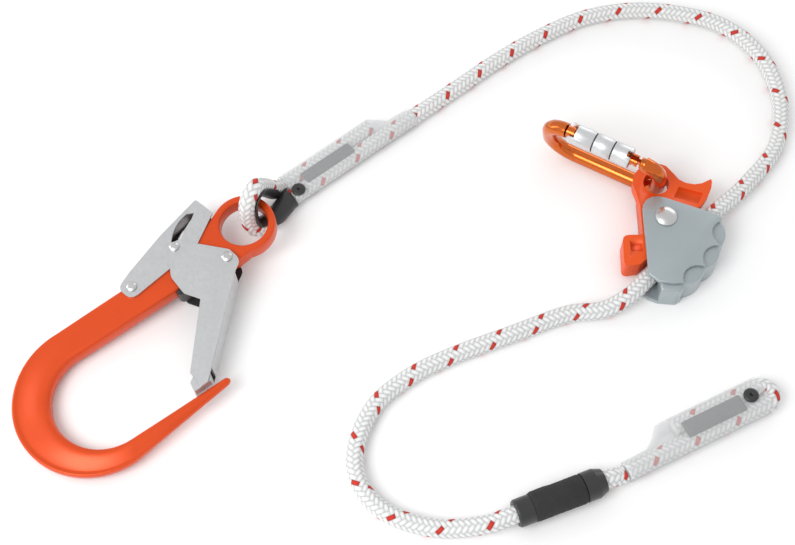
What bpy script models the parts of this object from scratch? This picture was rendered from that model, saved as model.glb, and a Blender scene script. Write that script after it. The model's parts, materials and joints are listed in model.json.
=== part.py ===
"""Work positioning lanyard: a rope grab with its carabiner on a braided rope,
a scaffold hook at one end of the rope, and a stop and a sewn loop at the other.

Metres, +Z up, laid flat on a surface at Z = 0. +X runs along the longest side.
Helpers take millimetres; MM turns them into metres.
"""
import math

import bmesh
import bpy
from mathutils import Matrix, Vector

MM = 0.001

# --- rope -------------------------------------------------------------------
ROPE_D = 12.0                # outside diameter
ROPE_SIDES = 2               # bevel resolution of the plain tubes
EYE_ROPE_D = 11.6            # the same rope, pulled tight where it is sewn

# --- places of the sub-assemblies (X, Y, turn about Z in degrees) -----------
HOOK_RING = (-108.3, 53.0)   # centre of the hook's ring
HOOK_TURN = -144.0           # the shank runs this way from the ring
HOOK_TILT = 3.7              # the bow rests on the floor, the ring on the rope
HOOK_RING_Z = 19.3
SLEEVE_1 = (-85.5, 87.4, 38.7)   # mouth of the sleeve at the hook's end
SLEEVE_2 = (143.2, -120.4, 26.4)  # narrow mouth of the sleeve at the tail
STOPPER = (70.7, -149.2, 21.6)   # start of the stopper
STOPPER_Z = 10.0
RIVET = (181.0, 58.6)        # the grab's main rivet
SLEEVE_Z = 7.5               # height of the axis of both sleeves
CENTRING = (3.7, -0.3)       # puts the middle of the whole, less the free rope, at the origin

# --- scaffold hook, in its own plane (u along the shank, v towards the gate) -
HOOK_T = 12.0                # thickness of the forging
RING_R = 22.0
RING_HOLE_R = 16.5
SHANK_OUT = -8.0             # the shank's outer edge
SHANK_IN = 15.0              # the shank's inner edge
BOW_IN = (142.5, 50.0, 35.3)     # centre and radius of the bow's inner edge
BOW_OUT = (148.5, 45.3, 53.4)    # centre and radius of its outer edge
NOSE_TIP = (69.5, 88.2)
GATE_PIVOT = (23.6, 16.4)
LOCK_PIVOT = (86.8, -4.8)
LOCK_PIN = (48.1, -11.9)
GATE_TRAVEL = -38.0          # degrees, opening
LOCK_TRAVEL = -5.0
SHEET = 1.3                  # thickness of the gate's and the lock's sheet

# --- rope grab, measured from the main rivet ---------------------------------
FLOOR_T = 4.0                # the housing's back plate
COVER_Z = (20.7, 23.7)
LEVER_Z = (4.5, 20.2)
CHANNEL_Z = 11.0             # height of the rope's axis through the grab
CHANNEL_OFF = 18.75          # the rope's axis passes this far from the rivet
CHANNEL_TURN = 45.4          # and runs this way
EYE = (-3.7, 29.2)           # the lever's eye
EYE_R = 9.0
EYE_Z = 11.6                 # underside of the lever at its eye
POINTS = ((38.7, -2.4), (35.3, -21.8), (23.7, -38.4), (7.7, -50.5))

# --- carabiner, measured from the eye; its long axis is local X ---------------
CARA_TURN = -28.3
CARA_LEAN = 14.7             # leans towards the viewer from upright
CARA_BAR = 11.0
CARA_L = (-81.8, 1.2)        # centre line from end to end
CARA_H = 42.0                # spine to gate, between centre lines
CARA_SIDE = 3.8              # the spine passes this far behind the eye's centre
GATE_SPAN = (-62.0, -15.0)   # stations of the gate's ends
SLEEVE_R = 7.5


# --- materials ----------------------------------------------------------------
def material(name, color, roughness, metallic=0.0):
    mat = bpy.data.materials.new(name)
    mat.use_nodes = True
    shader = mat.node_tree.nodes["Principled BSDF"]
    shader.inputs["Base Color"].default_value = (*color, 1.0)
    shader.inputs["Roughness"].default_value = roughness
    shader.inputs["Metallic"].default_value = metallic
    mat.diffuse_color = (*color, 1.0)
    return mat


# --- outlines -------------------------------------------------------------------
def arc(center, radius, start, end, count):
    """Points on a circle from one angle to another, in degrees."""
    points = []
    for i in range(count + 1):
        angle = math.radians(start + (end - start) * i / count)
        points.append((center[0] + radius * math.cos(angle),
                       center[1] + radius * math.sin(angle)))
    return points


def rounded(corners, steps=4):
    """A closed outline from (x, y, radius) corners, each turned into an arc."""
    outline = []
    for i, (x, y, radius) in enumerate(corners):
        here = Vector((x, y))
        back = (Vector(corners[i - 1][:2]) - here).normalized()
        ahead = (Vector(corners[(i + 1) % len(corners)][:2]) - here).normalized()
        half = back.angle(ahead) / 2
        if radius <= 0 or half > math.radians(88):
            outline.append((x, y))
            continue
        reach = radius / math.tan(half)
        center = here + (back + ahead).normalized() * (radius / math.sin(half))
        first = here + back * reach - center
        turn = first.angle_signed(here + ahead * reach - center)
        for k in range(steps + 1):
            spoke = first.copy()
            spoke.rotate(Matrix.Rotation(-turn * k / steps, 2))
            outline.append(tuple(center + spoke))
    return outline


def bulge(start, end, height, steps):
    """Points strictly between two ends on an arc that stands off the chord.

    A positive height stands off to the right of the way from start to end.
    """
    a = Vector(start)
    b = Vector(end)
    chord = b - a
    side = Vector((chord.y, -chord.x)).normalized()
    radius = chord.length ** 2 / (8 * abs(height)) + abs(height) / 2
    sign = 1 if height > 0 else -1
    center = (a + b) / 2 + side * sign * (abs(height) - radius)
    first = a - center
    turn = first.angle_signed(b - center)
    points = []
    for k in range(1, steps):
        spoke = first.copy()
        spoke.rotate(Matrix.Rotation(-turn * k / steps, 2))
        points.append(tuple(center + spoke))
    return points


# --- solids -------------------------------------------------------------------
def add_object(name, data, mat, parent=None, place=None):
    obj = bpy.data.objects.new(name, data)
    bpy.context.scene.collection.objects.link(obj)
    obj.parent = parent
    if place is not None:
        obj.matrix_local = place
    if mat is not None:
        data.materials.append(mat)
    return obj


def from_bmesh(name, bm, mat, parent=None, place=None):
    bmesh.ops.recalc_face_normals(bm, faces=bm.faces)
    for vert in bm.verts:
        vert.co *= MM
    mesh = bpy.data.meshes.new(name)
    bm.to_mesh(mesh)
    bm.free()
    return add_object(name, mesh, mat, parent, place)


def shift(x=0.0, y=0.0, z=0.0, turn=0.0):
    return Matrix.Translation(Vector((x, y, z)) * MM) @ Matrix.Rotation(math.radians(turn), 4, "Z")


def frame(name, place, parent=None):
    """An empty that carries a sub-assembly or marks a joint's axis."""
    return add_object(name, None, None, parent, place)


def prism(name, outline, low, high, mat, parent=None, place=None):
    """An outline drawn in X and Y, between two heights."""
    bm = bmesh.new()
    verts = [bm.verts.new((x, y, low)) for x, y in outline]
    face = bm.faces.new(verts)
    raised = bmesh.ops.extrude_face_region(bm, geom=[face])["geom"]
    top = [item for item in raised if isinstance(item, bmesh.types.BMVert)]
    bmesh.ops.translate(bm, verts=top, vec=(0, 0, high - low))
    return from_bmesh(name, bm, mat, parent, place)


def lathe(name, profile, mat, parent=None, place=None, sides=24):
    """A closed (radius, height) profile turned about Z.

    A point at radius 0 lies on the axis and closes that end.
    """
    bm = bmesh.new()
    rows = []
    for radius, height in profile:
        if radius == 0:
            rows.append([bm.verts.new((0, 0, height))] * sides)
            continue
        ring = arc((0, 0), radius, 0, 360, sides)[:sides]
        rows.append([bm.verts.new((x, y, height)) for x, y in ring])
    count = len(rows)
    for i in range(count):
        low = rows[i]
        high = rows[(i + 1) % count]
        if low[0] is low[1] and high[0] is high[1]:
            continue
        for k in range(sides):
            n = (k + 1) % sides
            corners = list(dict.fromkeys((low[k], low[n], high[n], high[k])))
            bm.faces.new(corners)
    return from_bmesh(name, bm, mat, parent, place)


def loft(name, rings, mat, parent=None, place=None, closed=False):
    """A skin over rings of points, with its ends filled, or joined end to end."""
    bm = bmesh.new()
    rows = [[bm.verts.new(point) for point in ring] for ring in rings]
    count = len(rows[0])
    pairs = list(zip(rows, rows[1:]))
    if closed:
        pairs.append((rows[-1], rows[0]))
    for low, high in pairs:
        for k in range(count):
            n = (k + 1) % count
            bm.faces.new((low[k], low[n], high[n], high[k]))
    if not closed:
        bm.faces.new(rows[0])
        bm.faces.new(rows[-1])
    return from_bmesh(name, bm, mat, parent, place)


def smooth_path(route, spacing):
    """Points at even spacing on a smooth curve through the route's points."""
    pts = [Vector(p) for p in route]
    pts = [2 * pts[0] - pts[1], *pts, 2 * pts[-1] - pts[-2]]
    dense = []
    for p0, p1, p2, p3 in zip(pts, pts[1:], pts[2:], pts[3:]):
        for k in range(40):
            t = k / 40
            dense.append(0.5 * (2 * p1 + (p2 - p0) * t
                                + (2 * p0 - 5 * p1 + 4 * p2 - p3) * t * t
                                + (3 * p1 - p0 - 3 * p2 + p3) * t * t * t))
    dense.append(pts[-2])
    run = [0.0]
    for a, b in zip(dense, dense[1:]):
        run.append(run[-1] + (b - a).length)
    count = max(2, round(run[-1] / spacing))
    path = []
    j = 0
    for i in range(count + 1):
        want = run[-1] * i / count
        while j < len(run) - 2 and run[j + 1] < want:
            j += 1
        part = (want - run[j]) / max(run[j + 1] - run[j], 1e-9)
        path.append(dense[j].lerp(dense[j + 1], min(max(part, 0.0), 1.0)))
    return path


def tube(name, path, diameter, mat, parent=None, place=None, resolution=ROPE_SIDES):
    """A round solid along points in millimetres: a curve with filled caps."""
    curve = bpy.data.curves.new(name, "CURVE")
    curve.dimensions = "3D"
    curve.bevel_depth = diameter / 2 * MM
    curve.bevel_resolution = resolution
    curve.use_fill_caps = True
    spline = curve.splines.new("POLY")
    spline.points.add(len(path) - 1)
    for point, place_mm in zip(spline.points, path):
        point.co = (*(Vector(place_mm) * MM), 1.0)
    return add_object(name, curve, mat, parent, place)


def bevel(obj, width, segments=2, angle=30.0):
    mod = obj.modifiers.new("Bevel", "BEVEL")
    mod.width = width * MM
    mod.segments = segments
    mod.limit_method = "ANGLE"
    mod.angle_limit = math.radians(angle)
    return obj


def combine(obj, other, operation="DIFFERENCE"):
    """Cuts a guide solid out of an object, or adds it; the guide stays hidden."""
    mod = obj.modifiers.new(operation.title(), "BOOLEAN")
    mod.operation = operation
    mod.object = other
    other.hide_render = True
    other.display_type = "WIRE"
    other.hide_set(True)
    return obj


# --- scaffold hook --------------------------------------------------------------
def hook_section(inner, outer, thick_in, thick_out):
    """One ring of points across the bar, from its inner edge to its outer edge."""
    a = Vector((*inner, 0))
    across = Vector((*outer, 0)) - a
    width = across.length
    across.normalize()
    high = thick_in / 2
    low = thick_out / 2
    edge = min(1.3, width / 4, low / 2)
    half = [(0, high - edge), (edge, high), (width * 0.32, high), (width - edge, low), (width, low - edge)]
    both = half + [(x, -z) for x, z in reversed(half)]
    return [a + across * x + Vector((0, 0, z)) for x, z in both]


def hook_rings():
    """Sections of the bar from the shank, round the bow, to the nose."""
    rings = []
    for u in (30.0, 90.0):
        rings.append(hook_section((u, SHANK_IN), (u, SHANK_OUT), HOOK_T, HOOK_T))
    steps = 18
    for k in range(steps + 1):
        angle = math.radians(-90 + 180 * k / steps)
        way = Vector((math.cos(angle), math.sin(angle)))
        inner = Vector(BOW_IN[:2]) + way * BOW_IN[2]
        outer = Vector(BOW_OUT[:2]) + way * BOW_OUT[2]
        thin = min(k / 6, 1.0)
        rings.append(hook_section(inner, outer, HOOK_T - 1.5 * k / steps, HOOK_T - 5.0 * thin))
    inner_end = Vector((BOW_IN[0], BOW_IN[1] + BOW_IN[2]))
    outer_end = Vector((BOW_OUT[0], BOW_OUT[1] + BOW_OUT[2]))
    tip = Vector(NOSE_TIP)
    for part in (0.2, 0.4, 0.6, 0.8, 0.94, 0.985, 1.0):
        inner = inner_end.lerp(tip + Vector((0, -1.6)), part)
        outer = outer_end.lerp(tip + Vector((0, 1.6)), part ** 1.12)
        thick = 10.5 - 3.3 * part - (3.0 if part == 1.0 else 0.0)
        rings.append(hook_section(inner, outer, thick, min(thick, 7.0)))
    return rings


def hook_ring_outline():
    """The ring and the neck that widens into the shank."""
    outline = arc((0, 0), RING_R, -62, -292, 26)
    outline += [(19.5, 21.6), (40.0, 17.4), (58.0, SHANK_IN), (58.0, SHANK_OUT), (34.0, SHANK_OUT)]
    return outline


def sheet_pair(name, outline, inside, web, mat, parent, shift_by):
    """A folded sheet: two plates either side of the forging, joined by a web."""
    top = prism(name, outline, inside, inside + SHEET, mat, parent, shift_by)
    lower = prism(name + "_lower_guide", outline, -inside - SHEET, -inside, None, parent, shift_by)
    side = prism(name + "_web_guide", web, -inside - SHEET / 2, inside + SHEET / 2, None, parent, shift_by)
    combine(top, lower, "UNION")
    return combine(top, side, "UNION")


def strip(points, thickness):
    """A thin outline to the left of a line of points."""
    left = []
    for i, point in enumerate(points):
        way = Vector(points[min(i + 1, len(points) - 1)]) - Vector(points[max(i - 1, 0)])
        side = Vector((-way.y, way.x)).normalized() * thickness
        left.append(tuple(Vector(point) + side))
    return list(points) + left[::-1]


def hole(obj, name, center, radius, low, high, parent=None, place=None, sides=20):
    guide = prism(name, arc(center, radius, 0, 360, sides)[:sides], low, high, None, parent, place)
    return combine(obj, guide)


def headed_pin(name, shank_r, head_r, half_length, head_t, mat, parent, place, sides=16):
    """A pin with a low domed head on each end."""
    z = half_length
    profile = [(0, -z - head_t), (head_r * 0.6, -z - head_t), (head_r, -z - head_t * 0.4), (head_r, -z),
               (shank_r, -z), (shank_r, z), (head_r, z), (head_r, z + head_t * 0.4),
               (head_r * 0.6, z + head_t), (0, z + head_t)]
    return lathe(name, profile, mat, parent, place, sides)


def lock_slot():
    """The slot that the gate's pin runs along as gate and lock turn together."""
    pin = Vector(LOCK_PIN)
    gate = Vector(GATE_PIVOT)
    lock = Vector(LOCK_PIVOT)
    inner = []
    outer = []
    steps = 6
    for k in range(steps + 1):
        part = k / steps
        spot = pin - gate
        spot.rotate(Matrix.Rotation(math.radians(GATE_TRAVEL * part), 2))
        spot = spot + gate - lock
        spot.rotate(Matrix.Rotation(math.radians(-LOCK_TRAVEL * part), 2))
        spot += lock
        away = (spot - gate).normalized()
        inner.append(tuple(spot - away * 2.7))
        outer.append(tuple(spot + away * (2.7 + 1.8 * math.sin(math.pi * part))))
    first = Vector(inner[0]).lerp(Vector(outer[0]), 0.5) + Vector((3.6, 2.2))
    last = Vector(inner[-1]).lerp(Vector(outer[-1]), 0.5) - Vector((3.9, 0.2))
    return inner + [tuple(last)] + outer[::-1] + [tuple(first)]


def build_hook(root):
    orange = material("hook_orange", (0.78, 0.13, 0.02), 0.34, 0.15)
    satin = material("satin_silver", (0.66, 0.67, 0.68), 0.36, 0.9)
    steel = material("pin_steel", (0.6, 0.6, 0.6), 0.25, 1.0)
    black = material("black_plastic", (0.015, 0.015, 0.016), 0.5)
    tilt = Matrix.Rotation(math.radians(HOOK_TILT), 4, "Y")
    hook = frame("hook_axis", shift(*HOOK_RING, HOOK_RING_Z, HOOK_TURN) @ tilt, root)

    body = loft("hook_body", hook_rings(), orange, hook)
    ring = prism("hook_ring_guide", hook_ring_outline(), -HOOK_T / 2 - 0.1, HOOK_T / 2 + 0.1, None, hook)
    hole(ring, "hook_ring_hole_guide", (0, 0), RING_HOLE_R, -9, 9, hook, sides=32)
    bevel(ring, 1.2, 2, 50)
    combine(body, ring, "UNION")
    hole(body, "gate_pivot_hole_guide", GATE_PIVOT, 3.1, -9, 9, hook)
    hole(body, "lock_pivot_hole_guide", LOCK_PIVOT, 2.6, -9, 9, hook)

    gate = frame("hook_gate_axis", shift(*GATE_PIVOT), hook)
    back = shift(-GATE_PIVOT[0], -GATE_PIVOT[1])
    outline = rounded([(50.6, -15.6, 3), (43.6, -14.9, 2), (19.2, 12.5, 3), (17.4, 23.5, 6),
                       (24.0, 27.6, 2), (83.0, 84.6, 1), (88.2, 84.6, 1), (88.8, 72.3, 1),
                       (54.6, 31.6, 1.5), (61.5, 21.0, 4), (62.0, 6.0, 9)], 3)
    web = strip([(25.5, 29.1), (75.4, 77.6)], -SHEET)
    plate = sheet_pair("hook_gate", outline, 7.9, web, satin, gate, back)
    for name, spot in (("gate_plate_pivot", GATE_PIVOT), ("gate_plate_pin", LOCK_PIN)):
        hole(plate, name + "_hole_guide", spot, 2.35, -12, 12, gate, back)
    prism("gate_tip", rounded([(77.6, 78.0, 1), (88.4, 75.0, 1), (92.3, 77.5, 1), (93.6, 84.4, 1),
                               (80.4, 84.4, 1)], 2), -7.5, 7.5, satin, gate, back)
    headed_pin("gate_lock_pin", 2.0, 3.4, 9.6, 1.5, steel, gate,
               shift(LOCK_PIN[0] - GATE_PIVOT[0], LOCK_PIN[1] - GATE_PIVOT[1]))
    headed_pin("gate_pivot_rivet", 2.0, 3.6, 9.6, 1.6, steel, hook, shift(*GATE_PIVOT))
    lathe("gate_bush", [(2.3, -6.0), (2.8, -6.0), (2.8, 6.0), (2.3, 6.0)], steel, hook,
          shift(*GATE_PIVOT), 16)
    prism("gate_stop", rounded([(51.5, 17.9, 0), (56.0, 15.5, 0), (65.0, 15.4, 1), (64.0, 19.5, 2),
                                (55.0, 21.8, 2)], 2), -5.6, 5.6, black, hook)

    lock = frame("lock_lever_axis", shift(*LOCK_PIVOT), hook)
    back = shift(-LOCK_PIVOT[0], -LOCK_PIVOT[1])
    outline = rounded([(94.6, -9.5, 5), (82.0, -15.2, 12), (50.0, -26.2, 60), (16.6, -34.8, 1.5),
                       (12.8, -18.8, 1), (34.1, -5.0, 4), (58.9, -0.6, 30), (92.5, 3.4, 6)], 3)
    web = strip([(20.0, -33.5), (50.0, -25.7), (79.0, -15.6)], SHEET)
    lever = sheet_pair("lock_lever", outline, 6.3, web, satin, lock, back)
    slot = prism("lock_slot_guide", lock_slot(), -12, 12, None, lock, back)
    combine(lever, slot)
    hole(lever, "lock_plate_hole_guide", LOCK_PIVOT, 2.3, -12, 12, lock, back)
    headed_pin("lock_lever_rivet", 2.0, 3.5, 8.0, 1.5, steel, hook, shift(*LOCK_PIVOT))
    spring_spots = [(70.0, -12.6), (64.0, -9.2), (58.0, -15.8), (52.5, -17.8)]
    tube("lock_spring", [(u, v, 0.0) for u, v in spring_spots], 1.0, steel, hook)


# --- rope ends --------------------------------------------------------------------
def stadium(left, right, half_height, height, sides=6):
    """A flat-topped oval across the sleeve, from one side to the other."""
    return (arc((right - half_height, height), half_height, -90, 90, sides)
            + arc((left + half_height, height), half_height, 90, 270, sides))


def rope_sleeve(name, stations, mat, parent, wall=0.5):
    """A thin open-ended sleeve; each station is (distance, left, right)."""
    rings = []
    for run, left, right in stations:
        rings.append([(run, y, z) for y, z in stadium(left, right, SLEEVE_Z, SLEEVE_Z)])
    for run, left, right in reversed(stations):
        inner = stadium(left + wall, right - wall, SLEEVE_Z - wall, SLEEVE_Z)
        rings.append([(run, y, z) for y, z in inner])
    return loft(name, rings, mat, parent, closed=True)


def sleeve_stud(prefix, sleeve, x, y, mat, parent):
    """A round stud whose neck goes through the sleeve's upper wall."""
    hole(sleeve, prefix + "_hole_guide", (x, y), 2.4, 13.0, 17.0, parent, sides=12)
    top = 2 * SLEEVE_Z
    profile = [(0, top - 0.8), (2.1, top - 0.8), (2.1, top + 0.2), (5.0, top + 0.2),
               (5.0, top + 1.0), (4.2, top + 1.6), (0, top + 1.6)]
    lathe(prefix, profile, mat, parent, shift(x, y), 20)


def eye_route():
    """The loop through the hook's ring: over the ring, down its hole and back under it."""
    over = [(14.0, 3.9, 7.2), (5.0, 3.9, 7.3), (-3.5, 3.9, 12.0), (-10.0, 3.2, 22.5),
            (-20.5, -1.5, 37.8), (-30.5, -6.0, 34.2)]
    under = [(-34.0, -9.6, 20.0), (-31.5, -12.6, 9.4), (-21.0, -13.6, 6.0), (-8.0, -10.8, 6.4),
             (2.0, -8.2, 7.1), (12.0, -8.0, 7.2)]
    return over + under


def build_hook_end(root):
    rope_white = bpy.data.materials["rope_white"]
    milky = material("milky_sleeve", (0.82, 0.83, 0.83), 0.35)
    black = bpy.data.materials["black_plastic"]
    thread = material("dark_thread", (0.12, 0.12, 0.13), 0.9)
    x, y, turn = SLEEVE_1
    end = frame("hook_end", shift(x, y, 0, turn), root)
    route = [(83.0, 3.9, 7.2), (60.0, 3.9, 7.2), (30.0, 3.9, 7.2), *eye_route(),
             (30.0, -8.0, 7.2), (60.0, -8.0, 7.2), (90.0, -8.0, 7.2), (113.0, -8.0, 7.2)]
    tube("hook_eye_rope", smooth_path(route, 5.0), EYE_ROPE_D, rope_white, end)

    path = smooth_path(eye_route(), 5.0)
    middle = Vector((-17.0, -6.5, 20.5))
    rings = []
    for i, point in enumerate(path[1:-1], start=1):
        way = (path[i + 1] - path[i - 1]).normalized()
        inward = (middle - point)
        inward = (inward - way * inward.dot(way)).normalized()
        side = way.cross(inward)
        ring = []
        for radius, span in ((EYE_ROPE_D / 2 + 0.7, 1), (EYE_ROPE_D / 2 + 1.7, -1)):
            for k in range(9):
                angle = math.radians(-68 + 136 * k / 8) * span
                ring.append(point + inward * radius * math.cos(angle) + side * radius * math.sin(angle))
        rings.append(ring)
    loft("thimble", rings[2:-2], black, end)

    stations = [(5.0, -14.8, 10.7), (84.0, -14.8, 10.7), (90.0, -15.0, 5.0), (95.0, -15.2, 0.2),
                (113.0, -15.2, -0.2)]
    sleeve = rope_sleeve("hook_end_sleeve", stations, milky, end)
    sleeve_stud("hook_end_stud", sleeve, 8.8, -9.6, black, end)
    prism("hook_end_stitching", rounded([(18, -8.5, 1), (60, -8.5, 1), (60, 0.6, 1), (18, 0.6, 1)], 2),
          13.4, 14.1, thread, end)


def build_tail_end(root):
    rope_white = bpy.data.materials["rope_white"]
    x, y, turn = SLEEVE_2
    end = frame("tail_end", shift(x, y, 0, turn), root)
    loop = [(106.0 + 6.35 * px, 6.35 + 6.35 * py, 7.2) for px, py in arc((0, 0), 1.0, -90, 90, 10)]
    straight = [(12.0 * k, 0.0, 7.2) for k in range(9)]
    back = [(96.0 - 12.0 * k, 12.7, 7.2) for k in range(6)]
    tube("tail_loop_rope", straight + loop + back, ROPE_D - 0.1, rope_white, end)
    stations = [(0.0, -7.4, 7.4), (19.0, -7.4, 7.8), (26.0, -7.3, 13.0), (32.0, -7.2, 19.6),
                (36.0, -7.2, 20.0), (107.0, -7.2, 20.0)]
    sleeve = rope_sleeve("tail_sleeve", stations, bpy.data.materials["milky_sleeve"], end)
    sleeve_stud("tail_stud", sleeve, 96.5, 7.6, bpy.data.materials["black_plastic"], end)
    prism("tail_stitching", rounded([(46, 0.5, 1), (90, 0.5, 1), (90, 12, 1), (46, 12, 1)], 2),
          13.5, 14.2, bpy.data.materials["dark_thread"], end)


def build_stopper(root):
    black = bpy.data.materials["black_plastic"]
    cloth = material("stopper_wrap_black", (0.02, 0.02, 0.021), 0.85)
    x, y, turn = STOPPER
    along = Matrix.Rotation(math.radians(90), 4, "Y")
    end = frame("stopper", shift(x, y, STOPPER_Z, turn) @ along, root)
    bore = ROPE_D / 2 + 0.35
    pieces = (("stopper_ring_1", [(bore, 0), (8.4, 0), (9.2, 1.2), (9.2, 11.0), (bore, 11.0)], black),
              ("stopper_wrap", [(bore, 11.3), (9.4, 11.3), (9.9, 13.0), (9.9, 45.0), (9.4, 46.8),
                                (bore, 46.8)], cloth),
              ("stopper_ring_2", [(bore, 47.1), (9.8, 47.1), (9.8, 55.5), (7.8, 61.0),
                                  (bore, 61.0)], black))
    for name, profile, mat in pieces:
        lathe(name, profile, mat, end, sides=20)


# --- the free rope -------------------------------------------------------------------
ROUTE_IN = ((8.0, 152.1, 7.2), (15.5, 158.1, 6.8), (40.0, 178.0, 6.1), (69.8, 202.1, 6.1),
            (101.8, 224.0, 6.1), (136.0, 241.9, 6.1), (172.6, 249.8, 6.1), (209.0, 247.0, 6.1),
            (242.8, 234.7, 6.1), (267.7, 206.4, 6.1), (276.6, 166.0, 6.1), (268.0, 126.0, 6.3),
            (243.0, 93.5, 8.2), (225.5, 76.3, 10.4))
ROUTE_OUT = ((152.3, 3.6, 10.2), (135.0, -4.8, 7.2), (110.7, -7.6, 6.1), (72.0, -22.9, 6.1),
             (33.9, -38.0, 6.1), (5.0, -53.2, 6.1), (-19.1, -75.3, 6.1), (-30.6, -106.6, 6.1),
             (-25.8, -131.2, 6.1), (-8.1, -148.1, 6.1), (21.2, -157.1, 6.4), (50.0, -156.0, 9.0))


def rope_route():
    """The rope's way from the hook's sleeve, through the grab and the stopper, to the tail."""
    way = Vector((math.cos(math.radians(CHANNEL_TURN)), math.sin(math.radians(CHANNEL_TURN)), 0))
    side = Vector((way.y, -way.x, 0))
    middle = Vector((*RIVET, CHANNEL_Z)) + side * CHANNEL_OFF
    grab = [tuple(middle + way * run) for run in (33.0, 0.0, -36.0)]
    turn = math.radians(STOPPER[2])
    stop = [(STOPPER[0] + run * math.cos(turn), STOPPER[1] + run * math.sin(turn), STOPPER_Z)
            for run in (-5.0, 25.0, 60.0)]
    turn = math.radians(SLEEVE_2[2])
    end = [(SLEEVE_2[0] - run * math.cos(turn), SLEEVE_2[1] - run * math.sin(turn), 7.2)
           for run in (6.0, 1.6)]
    return [*ROUTE_IN, *grab, *ROUTE_OUT, *stop, *end]


def build_rope(root):
    rope_white = material("rope_white", (0.8, 0.8, 0.79), 0.8)
    tube("rope", smooth_path(rope_route(), 17.0), ROPE_D, rope_white, root)


# --- rope grab ---------------------------------------------------------------------------
def channel_line(off, run):
    """A point at a distance from the rivet across the rope, and along it."""
    turn = math.radians(CHANNEL_TURN)
    way = Vector((math.cos(turn), math.sin(turn)))
    return tuple(Vector((way.y, -way.x)) * off + way * run)


def scalloped(height):
    """The edge past the three points, hollowed or bulged by a height."""
    edge = []
    for start, end in zip(POINTS, POINTS[1:]):
        edge += [start, *bulge(start, end, height, 7)]
    return edge + [POINTS[-1]]


def build_grab(root):
    grey = material("housing_grey", (0.42, 0.47, 0.49), 0.32, 0.75)
    orange = material("lever_orange", (0.85, 0.14, 0.015), 0.3, 0.1)
    steel = bpy.data.materials["pin_steel"]
    place = shift(*RIVET)
    grab = frame("grab", place, root)

    cover_edge = [(-15.5, -44.0)] + arc((-4.6, 6.0), 10.9, 180, 66, 5) + [(30.0, 4.3), (36.4, 1.5)]
    cover_edge += scalloped(6.3)
    cover_edge += [(1.0, -51.3), (-9.5, -49.4)]
    cover = prism("cover_plate", cover_edge, *COVER_Z, grey, grab)
    bevel(cover, 0.6, 2, 40)
    hole(cover, "cover_hole_guide", (0, 0), 4.3, 18, 26, grab)

    lobes = scalloped(-3.6)
    foot = [POINTS[-1], (8.6, -53.5), (4.7, -56.0), (-7.3, -54.9), (-13.5, -52.0), (-17.4, -47.5)]
    back_edge = [(-15.5, -40.0), (-15.5, 8.0), (-9.0, 15.5), (-4.0, 16.8), (30.0, 4.3), (37.0, 1.0)]
    housing = prism("grab_housing", back_edge + lobes + foot[1:], 0.3, FLOOR_T, grey, grab)
    wall_edge = [channel_line(25.4, 28.0)] + lobes[:-1] + foot[:4] + [channel_line(25.4, -36.5)]
    wall = prism("housing_wall_guide", wall_edge, 1.0, COVER_Z[0] - 0.3, None, grab)
    bevel(wall, 2.2, 3, 35)
    combine(housing, wall, "UNION")
    hole(housing, "housing_hole_guide", (0, 0), 4.3, -2, 9, grab)
    for index, (off, run) in enumerate(((29.0, 10.0), (30.0, -20.0)), start=1):
        spot = channel_line(off, run)
        hole(housing, f"dowel_{index}_lower_guide", spot, 2.3, 14.0, 26.0, grab, sides=12)
        hole(cover, f"dowel_{index}_upper_guide", spot, 2.3, 18.0, 22.5, grab, sides=12)
        lathe(f"cover_dowel_{index}", [(0, 14.4), (2.0, 14.4), (2.0, 22.1), (0, 22.1)], steel, grab,
              shift(*spot), 12)

    dome = [(0, 0.4), (6.0, 0.4), (4.0, 1.4), (4.0, 24.0), (7.7, 24.0), (7.4, 25.0), (5.6, 26.3),
            (3.0, 27.1), (0, 27.3)]
    lathe("main_rivet", dome, steel, grab, sides=28)
    hole(housing, "rivet_foot_guide", (0, 0), 6.4, -2, 1.8, grab)
    lathe("rivet_bush", [(4.3, 4.3), (5.4, 4.3), (5.4, 20.4), (4.3, 20.4)], steel, grab, sides=20)

    axis = frame("cam_lever_axis", shift(), grab)
    build_lever(axis, orange)
    coil = []
    for k in range(28):
        angle = math.radians(30 * k)
        coil.append((8.2 * math.cos(angle), 8.2 * math.sin(angle), 15.7 + 1.5 * k / 12))
    tube("cam_spring", coil, 1.0, steel, axis, resolution=1)


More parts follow.
